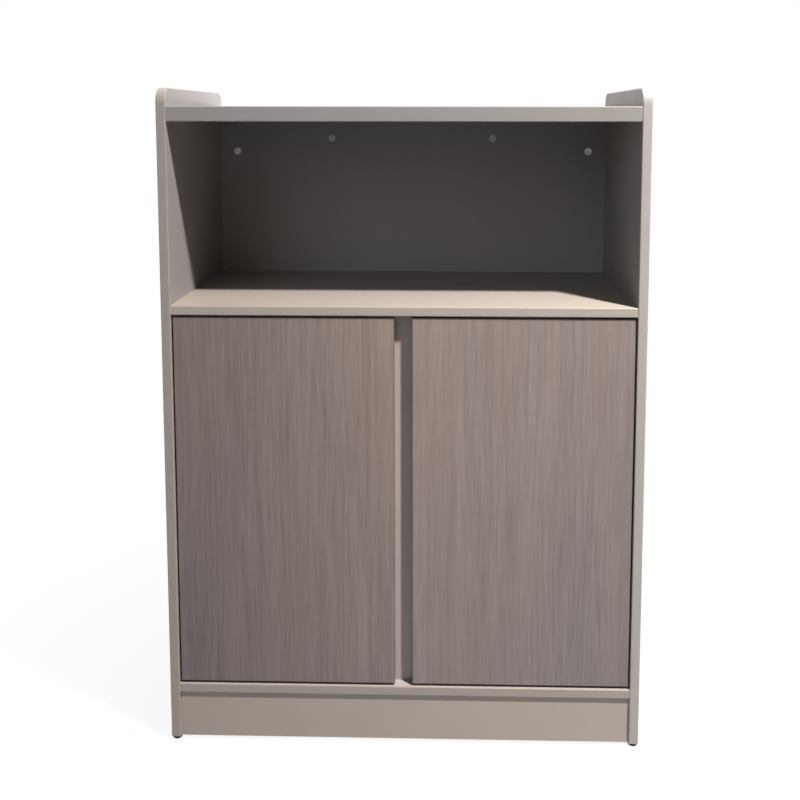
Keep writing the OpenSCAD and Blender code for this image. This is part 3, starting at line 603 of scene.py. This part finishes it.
class Growth:
    """A Geometry Nodes tree that shapes one round piece and sets it on every point."""

    def __init__(self, name, sizes):
        inputs = [("Geometry", GEOMETRY, None)]
        inputs += [(size, FLOAT, value) for size, value in sizes.items()]
        inputs += [("Sides", COUNT, ROUND_SIDES), ("Finish", FINISH, None)]
        made = group(name, inputs, [("Geometry", GEOMETRY)], "GeometryNodeTree")
        self.tree, self.given, self.result = made

    def size(self, name, factor=None):
        """One of the tree's sizes, times a factor where one is given."""
        given = self.given[name]
        return given if factor is None else maths(self.tree, "MULTIPLY", given, factor)

    def less(self, first, second):
        """One length less another."""
        return maths(self.tree, "SUBTRACT", first, second)

    def moved(self, shape, place=ZERO, turn=ZERO):
        """A shape turned, then set at a place."""
        return add(self.tree, "GeometryNodeTransform", {
            "Geometry": shape, "Translation": place, "Rotation": turn,
        }).outputs[0]

    def disc(self, radius, height):
        """Flat round face at a height."""
        circle = add(self.tree, "GeometryNodeMeshCircle", {
            "Vertices": self.size("Sides"), "Radius": radius,
        }, fill_type="NGON").outputs[0]
        return self.moved(circle, vector_of(self.tree, z=height))

    def draw_up(self, mesh, top, rise, factor):
        """Extrudes the top face, or the only one, and scales it in its new place."""
        inputs = {"Mesh": mesh, "Offset": vector_of(self.tree, z=rise), "Offset Scale": 1.0}
        if top is not None:
            inputs["Selection"] = top
        raised = add(self.tree, "GeometryNodeExtrudeMesh", inputs, mode="FACES").outputs
        scaled = add(self.tree, "GeometryNodeScaleElements", {
            "Geometry": raised["Mesh"], "Selection": raised["Top"], "Scale": factor,
        }, domain="FACE").outputs[0]
        return scaled, raised["Top"]

    def closed(self, base, shape):
        """Adds the base, turned over, and welds it to the shape."""
        under = add(self.tree, "GeometryNodeFlipFaces", {"Mesh": base}).outputs[0]
        both = self.tree.nodes.new("GeometryNodeJoinGeometry")
        self.tree.links.new(under, both.inputs[0])
        self.tree.links.new(shape, both.inputs[0])
        return add(self.tree, "GeometryNodeMergeByDistance", {
            "Geometry": both.outputs[0], "Distance": MERGE_WITHIN,
        }).outputs[0]

    def stack(self, radius, start, steps):
        """Closed round body on a disc at a height, drawn up by steps of (rise, factor of the radius)."""
        base = self.disc(radius, start)
        shape, top = base, None
        for rise, factor in steps:
            shape, top = self.draw_up(shape, top, rise, factor)
        return self.closed(base, shape)

    def block(self, length, width, depth, turn):
        """Box centred on the face, for cutting a slot."""
        size = vector_of(self.tree, length, width, depth)
        cube = add(self.tree, "GeometryNodeMeshCube", {"Size": size}).outputs[0]
        return self.moved(cube, turn=(0.0, 0.0, turn))

    def bar(self, sides, radius, depth):
        """Upright bar centred on the face, for cutting a hole."""
        return add(self.tree, "GeometryNodeMeshCylinder", {
            "Vertices": sides, "Radius": radius, "Depth": depth,
        }, fill_type="NGON").outputs[0]

    def cross(self, degrees):
        """Blocks for cutting a cross recess, one for each turn in degrees."""
        length, width, depth = self.size("Slot Length"), self.size("Slot Width"), self.size("Slot Depth", 2.0)
        return [self.block(length, width, depth, math.radians(turn)) for turn in degrees]

    def cut(self, shape, cutters):
        """Takes the cutters away from the shape."""
        boolean = add(self.tree, "GeometryNodeMeshBoolean", {"Mesh 1": shape}, operation="DIFFERENCE",
                      solver="EXACT")
        target = next(s for s in boolean.inputs if s.is_multi_input)
        for cutter in cutters:
            self.tree.links.new(cutter, target)
        return boolean.outputs[0]

    def finish(self, shape):
        """Sets the piece on each point, turned as the point says, as one mesh with its finish."""
        turn = add(self.tree, "GeometryNodeInputNamedAttribute", {"Name": TURN}, data_type="FLOAT_VECTOR")
        rotation = add(self.tree, "FunctionNodeEulerToRotation", {"Euler": turn.outputs[0]}).outputs[0]
        placed = add(self.tree, "GeometryNodeInstanceOnPoints", {
            "Points": self.given["Geometry"], "Instance": shape, "Rotation": rotation,
        }).outputs[0]
        whole = add(self.tree, "GeometryNodeRealizeInstances", {0: placed}).outputs[0]
        final = add(self.tree, "GeometryNodeSetMaterial", {
            "Geometry": self.shaded(whole), "Material": self.given["Finish"],
        }).outputs[0]
        self.tree.links.new(final, self.result[0])
        return self.tree

    def shaded(self, mesh):
        """Smooth shading that stops at hard edges."""
        smooth = add(self.tree, "GeometryNodeSetShadeSmooth", {0: mesh}, domain="FACE").outputs[0]
        angle = add(self.tree, "GeometryNodeInputMeshEdgeAngle").outputs[0]
        hard = add(self.tree, "FunctionNodeCompare", {0: angle, 1: HARD_EDGE}, operation="GREATER_THAN")
        return add(self.tree, "GeometryNodeSetShadeSmooth", {
            "Geometry": smooth, "Selection": hard.outputs[0], "Shade Smooth": False,
        }, domain="EDGE").outputs[0]


CAM_SIZES = {
    "Diameter": 14.8 * MM, "Height": 12.3 * MM, "Chamfer": 0.35 * MM,
    "Slot Length": 8.0 * MM, "Slot Width": 1.4 * MM, "Slot Depth": 1.6 * MM,
    "Socket": 5.0 * MM, "Socket Depth": 3.0 * MM,
    "Bore Diameter": 8.0 * MM, "Bolt Depth": 8.0 * MM, "Bore Reach": 3.0 * MM, "Pointer": 1.5 * MM,
}
CAM_CROSS = (45, 135)


def cam_tree():
    """Cam housing: a chamfered round body with a cross recess, a socket, a pointer and its bolt's bore."""
    grow = Growth("cam_housing", CAM_SIZES)
    body_rise = grow.less(grow.size("Height"), grow.size("Chamfer"))
    chamfer_share = maths(grow.tree, "DIVIDE", grow.size("Chamfer", 2.0), grow.size("Diameter"))
    rim = grow.less(1.0, chamfer_share)
    steps = [(body_rise, 1.0), (grow.size("Chamfer"), rim)]
    shape = grow.stack(grow.size("Diameter", 0.5), grow.size("Height", -1.0), steps)
    cutters = grow.cross(CAM_CROSS) + [key_socket(grow), bolt_bore(grow), pointer(grow)]
    return grow.finish(grow.cut(shape, cutters))


def key_socket(grow):
    """Six-sided socket in the middle of the cross recess."""
    return grow.bar(SOCKET_SIDES, grow.size("Socket", 0.5), grow.size("Socket Depth", 2.0))


def bolt_bore(grow):
    """Bore across the cam, from the bolt's side to just past the middle."""
    length = maths(grow.tree, "ADD", grow.size("Diameter"), grow.size("Bore Reach"))
    bore = grow.bar(grow.size("Sides"), grow.size("Bore Diameter", 0.5), length)
    shift = weighted(grow.tree, grow.size("Diameter"), -0.5, grow.size("Bore Reach"), 0.5)
    place = vector_of(grow.tree, x=shift, z=grow.size("Bolt Depth", -1.0))
    return grow.moved(bore, place, (0.0, math.radians(90), 0.0))


def pointer(grow):
    """Small three-cornered mark near the rim, towards the bolt."""
    mark = grow.bar(POINTER_SIDES, grow.size("Pointer"), grow.size("Chamfer", 2.0))
    shift = weighted(grow.tree, grow.size("Diameter"), -0.5, grow.size("Pointer"), 1.5)
    return grow.moved(mark, vector_of(grow.tree, x=shift), (0.0, 0.0, math.radians(180)))


SCREW_SIZES = {
    "Head Diameter": 8.0 * MM, "Head Height": 1.5 * MM, "Crown": 0.45 * MM,
    "Shank Diameter": 4.0 * MM, "Shank Length": 10.0 * MM, "Tip": 0.8 * MM,
    "Slot Length": 4.4 * MM, "Slot Width": 1.0 * MM, "Slot Depth": 1.1 * MM,
}
SCREW_CROSS = (0, 90)
# Each step of a rounding: its share of the height, and the factor of the radius
SCREW_CROWN = ((0.55, 0.95), (0.3, 0.88), (0.15, 0.74))


def screw_tree():
    """Screw: a shank with a tapered tip, and a low round head with a cross recess."""
    grow = Growth("cross_screw", SCREW_SIZES)
    tip = grow.less(grow.size("Shank Diameter", 0.5), grow.size("Tip"))
    tip_height = grow.less(grow.size("Head Height", -1.0), grow.size("Shank Length"))
    widen = maths(grow.tree, "DIVIDE", grow.size("Shank Diameter", 0.5), tip)
    shank = grow.less(grow.size("Shank Length"), grow.size("Tip"))
    flare = maths(grow.tree, "DIVIDE", grow.size("Head Diameter"), grow.size("Shank Diameter"))
    rim = grow.less(grow.size("Head Height"), grow.size("Crown"))
    steps = [(grow.size("Tip"), widen), (shank, 1.0), (0.0, flare), (rim, 1.0)]
    steps += [(grow.size("Crown", share), factor) for share, factor in SCREW_CROWN]
    shape = grow.stack(tip, tip_height, steps)
    return grow.finish(grow.cut(shape, grow.cross(SCREW_CROSS)))


BUMPER_SIZES = {"Diameter": 9.0 * MM, "Height": 2.4 * MM}
# Steps as in SCREW_CROWN, from the door's face outwards
BUMPER_PROFILE = ((0.34, 1.0), (0.26, 0.97), (0.18, 0.93), (0.12, 0.87), (0.07, 0.76), (0.03, 0.5))


def dome_tree():
    """Soft bumper: a low disc with a domed face."""
    grow = Growth("bumper_dome", BUMPER_SIZES)
    steps = [(grow.size("Height", share), factor) for share, factor in BUMPER_PROFILE]
    return grow.finish(grow.stack(grow.size("Diameter", 0.5), grow.size("Height", -1.0), steps))


GLIDE_SIZES = {
    "Diameter": 16.0 * MM, "Height": 6.0 * MM, "Recess Diameter": 6.2 * MM, "Recess Depth": 3.0 * MM,
    "Nail Bore": 2.2 * MM,
}
GLIDE_PROFILE = ((0.72, 1.0), (0.12, 0.988), (0.09, 0.965), (0.07, 0.93))


def glide_tree():
    """Glide: a disc with a rounded foot, a recess for its nail's head and a bore for its shank."""
    grow = Growth("glide_disc", GLIDE_SIZES)
    steps = [(grow.size("Height", share), factor) for share, factor in GLIDE_PROFILE]
    shape = grow.stack(grow.size("Diameter", 0.5), grow.size("Height", -1.0), steps)
    recess = grow.bar(grow.size("Sides"), grow.size("Recess Diameter", 0.5), grow.size("Recess Depth", 2.0))
    bore = grow.bar(grow.size("Sides"), grow.size("Nail Bore", 0.5), grow.size("Height", 4.0))
    return grow.finish(grow.cut(shape, [recess, bore]))


# Where the fittings go

def solids_of(node):
    """Boxes of a CAD node's separate solids, read from a merged copy of its mesh."""
    copy = bmesh.new()
    copy.from_mesh(NODES[node].data)
    bmesh.ops.remove_doubles(copy, verts=copy.verts, dist=MERGE_WITHIN)
    left = set(copy.verts)
    boxes = []
    while left:
        boxes.append(box_around(take_island(left)))
    copy.free()
    return sorted(boxes, key=lambda box: tuple(box[0]))


def take_island(left):
    """Points of one connected shape, taken out of the vertices that are left."""
    front = [left.pop()]
    island = []
    while front:
        vertex = front.pop()
        island.append(vertex.co.copy())
        near = {edge.other_vert(vertex) for edge in vertex.link_edges} & left
        left -= near
        front += near
    return island


def box_around(points):
    """Lowest and highest corner of some points."""
    low = Vector([min(point[axis] for point in points) for axis in AXES])
    high = Vector([max(point[axis] for point in points) for axis in AXES])
    return low, high


def middle(box):
    """Middle of a box."""
    return (box[0] + box[1]) / 2


def extent(box):
    """A function that gives a box's length along an axis."""
    return lambda axis: box[1][axis] - box[0][axis]


def face_place(box, axis, side):
    """Middle of a box's face across an axis, on the side given as 1 or -1."""
    place = middle(box)
    place[axis] = box[1 if side > 0 else 0][axis]
    return place


def along(axis, side):
    """Direction along an axis, on the side given as 1 or -1."""
    facing = Vector((0, 0, 0))
    facing[axis] = side
    return facing


def turn_of(facing, across):
    """Euler turn that points local Z along facing and local X along across."""
    side = facing.cross(across).normalized()
    forward = side.cross(facing).normalized()
    columns = Matrix((forward, side, facing.normalized())).transposed()
    return columns.to_euler()


def inwards(box):
    """Side that faces the cabinet's middle."""
    return 1 if middle(box).x < 0 else -1


def rearwards(box):
    """Side that faces the rear, whichever the box."""
    return 1


def cam_places(nodes):
    """Each cam's face, turned so that its bore meets the nearest bolt."""
    bolts = [middle(box) for box in solids_of("cam_bolts")]
    places = []
    for node in nodes:
        for box in solids_of(node):
            axis = min(AXES, key=extent(box))
            side = 1 if axis == Y_AXIS and middle(box).y < 0 else -1
            bolt = min(bolts, key=lambda b: (b - middle(box)).length)
            away = middle(box) - bolt
            away[axis] = 0.0
            places.append((face_place(box, axis, side), turn_of(along(axis, side), away)))
    return places


def screw_places(node, side_of):
    """Each screw's head, on the side that a function of its box gives."""
    places = []
    for box in solids_of(node):
        axis = max(AXES, key=extent(box))
        side = side_of(box)
        across = RIGHT if axis == Z_AXIS else UP
        places.append((face_place(box, axis, side), turn_of(along(axis, side), across)))
    return places


def flat_places(node, axis, facing, across):
    """The face of each solid of a node that looks along facing."""
    side = facing[axis]
    return [(face_place(box, axis, side), turn_of(facing, across)) for box in solids_of(node)]


# Making the fittings

def points_with_turns(name, places):
    """Object of bare points, each with its turn."""
    carrier = bpy.data.meshes.new(name)
    carrier.from_pydata([tuple(place) for place, _ in places], [], [])
    turns = carrier.attributes.new(TURN, "FLOAT_VECTOR", "POINT")
    for i, (_, turn) in enumerate(places):
        turns.data[i].vector = turn[:]
    return new_object(name + "_grower", carrier)


def grown_mesh(name, tree, places, sizes, finish):
    """Plain mesh that a tree makes on its places."""
    grower = points_with_turns(name, places)
    modifier = grower.modifiers.new("grow", "NODES")
    modifier.node_group = tree
    sockets = {item.name: item.identifier for item in tree.interface.items_tree if item.in_out == "INPUT"}
    for size, value in sizes.items():
        modifier[sockets[size]] = value
    modifier[sockets["Finish"]] = finish
    graph = bpy.context.evaluated_depsgraph_get()
    mesh = bpy.data.meshes.new_from_object(grower.evaluated_get(graph))
    grower.modifiers.remove(modifier)
    bpy.data.objects.remove(grower)
    mesh.name = name
    return mesh


def put_fitting(name, mesh, body, slot, *replaced):
    """Puts a mesh on its body, in place of CAD nodes."""
    piece = new_object(name, mesh)
    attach(piece, body)
    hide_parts(*replaced)


PLATE_SCREW = {"Head Diameter": 9.0 * MM, "Shank Diameter": 4.9 * MM, "Shank Length": 13.4 * MM,
               "Slot Length": 5.2 * MM}
ARM_SCREW = {"Head Diameter": 8.0 * MM, "Shank Diameter": 4.9 * MM, "Shank Length": 8.4 * MM}
CUP_SCREW = {"Head Diameter": 7.0 * MM, "Shank Diameter": 3.4 * MM, "Shank Length": 12.2 * MM,
             "Tip": 1.2 * MM, "Slot Length": 4.0 * MM, "Slot Width": 0.9 * MM}


def make_screws(name, node, side_of, sizes, tree, body):
    """Cross-headed screws in place of a node's plain ones."""
    mesh = grown_mesh(name, tree, screw_places(node, side_of), sizes, NICKEL)
    put_fitting(name, mesh, body, "nickel_hinge", node)


def make_bumpers(side, tree, body):
    """Domed bumpers on the rear of one door."""
    node = "door_bumpers_" + side
    name = "bumper_domes_" + side
    mesh = grown_mesh(name, tree, flat_places(node, Y_AXIS, REAR, UP), {}, CLEAR)
    put_fitting(name, mesh, body, "clear_bumper", node)


def make_fittings():
    """Cams, screws, bumpers and glides in place of their plain solids."""
    cams = ("cams_back_panel", "cams_boards")
    put_fitting("cams", grown_mesh("cams", cam_tree(), cam_places(cams), {}, CAM_ZINC_PAINTED_LIGHT), "carcass",
                "zinc_fittings", *cams)
    screw = screw_tree()
    make_screws("hinge_plate_screw_set", "hinge_plate_screws", inwards, PLATE_SCREW, screw, "carcass")
    make_screws("hinge_arm_screw_set", "hinge_arm_screws", inwards, ARM_SCREW, screw, "carcass")
    dome = dome_tree()
    for side in SIDES:
        body = side + "_door"
        make_screws("cup_screws_set_" + side, "cup_screws_" + side, rearwards, CUP_SCREW, screw, body)
        make_bumpers(side, dome, body)
    glides = grown_mesh("glide_discs", glide_tree(), flat_places("glides", Z_AXIS, DOWN, RIGHT), {},
                        BLACK_PLASTIC)
    put_fitting("glide_discs", glides, "carcass", "black_plastic", "glides")


make_fittings()


# Camera

CAMERA_PLACE = (79.8 * MM, -1763.3 * MM, 1066.1 * MM)
CAMERA_TURN = (84.318, -0.058, 1.428)
FOCAL_LENGTH = 43.763
FRAME_WIDTH = 36.0
SHIFT_RIGHT = -0.0349
SHIFT_UP = -0.2307
NEAREST_SEEN = 0.05
FARTHEST_SEEN = 100.0


def make_camera():
    """Camera at the photograph's place."""
    camera = new_object("camera", bpy.data.cameras.new("camera"))
    camera.location = CAMERA_PLACE
    camera.rotation_euler = [math.radians(degrees) for degrees in CAMERA_TURN]
    camera.data.sensor_width = FRAME_WIDTH
    camera.data.lens = FOCAL_LENGTH
    camera.data.shift_x = SHIFT_RIGHT
    camera.data.shift_y = SHIFT_UP
    camera.data.clip_start = NEAREST_SEEN
    camera.data.clip_end = FARTHEST_SEEN
    bpy.context.scene.camera = camera


# Lamps: a warm one high on the right, a cool one in front, and others over the top, behind and left

SOFT_WHITE = (1.0, 0.975, 0.95)
KEY_SPREAD = 95.0
LAMPS = {
    "key": {"place": (1.21, -1.25, 3.18), "aim": (0.6, -0.3, 0.5), "size": 0.16, "watts": 51.5,
            "colour": (1.0, 0.956, 0.919)},
    "fill": {"place": (-1.2, -2.2, 1.9), "aim": (0.0, -0.2, 0.8), "size": 1.2, "watts": 9.4,
             "colour": (0.63, 0.78, 1.0)},
    "crown": {"place": (0.0, 0.25, 2.6), "aim": (0.0, 0.1, 1.1), "size": 0.8, "watts": 20.0,
              "colour": (0.85, 0.93, 1.0)},
    "rear": {"place": (0.5, 2.9, 0.52), "aim": (0.0, 0.2, 0.6), "size": 1.0, "watts": 48.0,
             "colour": SOFT_WHITE},
    "left": {"place": (-2.9, 0.5, 0.52), "aim": (-0.4, 0.1, 0.6), "size": 1.0, "watts": 34.0,
             "colour": SOFT_WHITE},
}


def area_lamp(name, place, aim, size, watts, colour):
    """A soft square lamp that shines from one place to another."""
    data = bpy.data.lights.new(name, "AREA")
    data.size = size
    data.energy = watts
    data.color = colour
    lamp = new_object(name, data)
    lamp.location = place
    lamp.rotation_euler = (Vector(aim) - Vector(place)).to_track_quat("-Z", "Y").to_euler()


def make_lights():
    """All lamps; the key lamp's light is kept to a cone."""
    for name, lamp in LAMPS.items():
        area_lamp(name, **lamp)
    bpy.data.lights["key"].spread = math.radians(KEY_SPREAD)


# Background and floor

AMBIENT = 0.01
AMBIENT_COLOUR = (0.6, 0.8, 1.0, 1.0)
FLOOR_HALF = 8.0
FLOOR_CORNERS = ((-1, -1), (1, -1), (1, 1), (-1, 1))
FLOOR_ROUGHNESS = 0.8
FADE_NEAR = 0.35
FADE_FAR = 0.95
SHADOW_STRENGTH = 0.1
PALE = (0.8, 0.8, 0.8, 1.0)
DUSKY = (0.3, 0.31, 0.33, 1.0)
PALE_WITHIN = 0.9
DUSKY_BEYOND = 1.9
BOUNCE = (0.42, 0.42, 0.42, 1.0)


def seen_directly(tree):
    """1 for rays from the camera, and for those that arrive by reflection or through glass."""
    path = add(tree, "ShaderNodeLightPath").outputs
    seen = maths(tree, "MAXIMUM", path["Is Camera Ray"], path["Is Glossy Ray"])
    return maths(tree, "MAXIMUM", seen, path["Is Transmission Ray"])


def make_world():
    """White background that adds only a faint, even light."""
    world = bpy.data.worlds.new("studio")
    bpy.context.scene.world = world
    world.use_nodes = True
    tree = world.node_tree
    tree.nodes.clear()
    white = add(tree, "ShaderNodeBackground", {"Color": WHITE, "Strength": 1.0}).outputs[0]
    soft = add(tree, "ShaderNodeBackground", {"Color": AMBIENT_COLOUR, "Strength": AMBIENT}).outputs[0]
    mixed = add(tree, "ShaderNodeMixShader", {0: seen_directly(tree), 1: soft, 2: white})
    add(tree, "ShaderNodeOutputWorld", {"Surface": mixed.outputs[0]})


def floor_finish():
    """Pale floor with a light shadow that fades to white; it throws little light back at the cabinet."""
    material, tree, shader, place = new_material("pale_floor")
    away = add(tree, "ShaderNodeVectorMath", {0: place}, operation="LENGTH").outputs["Value"]
    colour = mix_colour(tree, remap(tree, away, PALE_WITHIN, DUSKY_BEYOND), PALE, DUSKY)
    seen = seen_directly(tree)
    tree.links.new(mix_colour(tree, seen, BOUNCE, colour), shader.inputs["Base Color"])
    shader.inputs["Roughness"].default_value = FLOOR_ROUGHNESS
    white = add(tree, "ShaderNodeEmission", {"Color": WHITE, "Strength": 1.0}).outputs[0]
    fade = remap(tree, away, FADE_NEAR, FADE_FAR, 1.0 - SHADOW_STRENGTH, 1.0)
    fade = maths(tree, "MULTIPLY", fade, seen)
    mixed = add(tree, "ShaderNodeMixShader", {0: fade, 1: shader.outputs[0], 2: white})
    output = next(n for n in tree.nodes if n.type == "OUTPUT_MATERIAL")
    tree.links.new(mixed.outputs[0], output.inputs["Surface"])
    return material


def make_floor():
    """Flat floor under the cabinet."""
    mesh = bpy.data.meshes.new("floor")
    corners = [(x * FLOOR_HALF, y * FLOOR_HALF, 0.0) for x, y in FLOOR_CORNERS]
    mesh.from_pydata(corners, [], [(0, 1, 2, 3)])
    mesh.materials.append(floor_finish())
    new_object("floor", mesh)


make_camera()
make_lights()
make_world()
make_floor()
bpy.context.scene.view_settings.view_transform = "Standard"
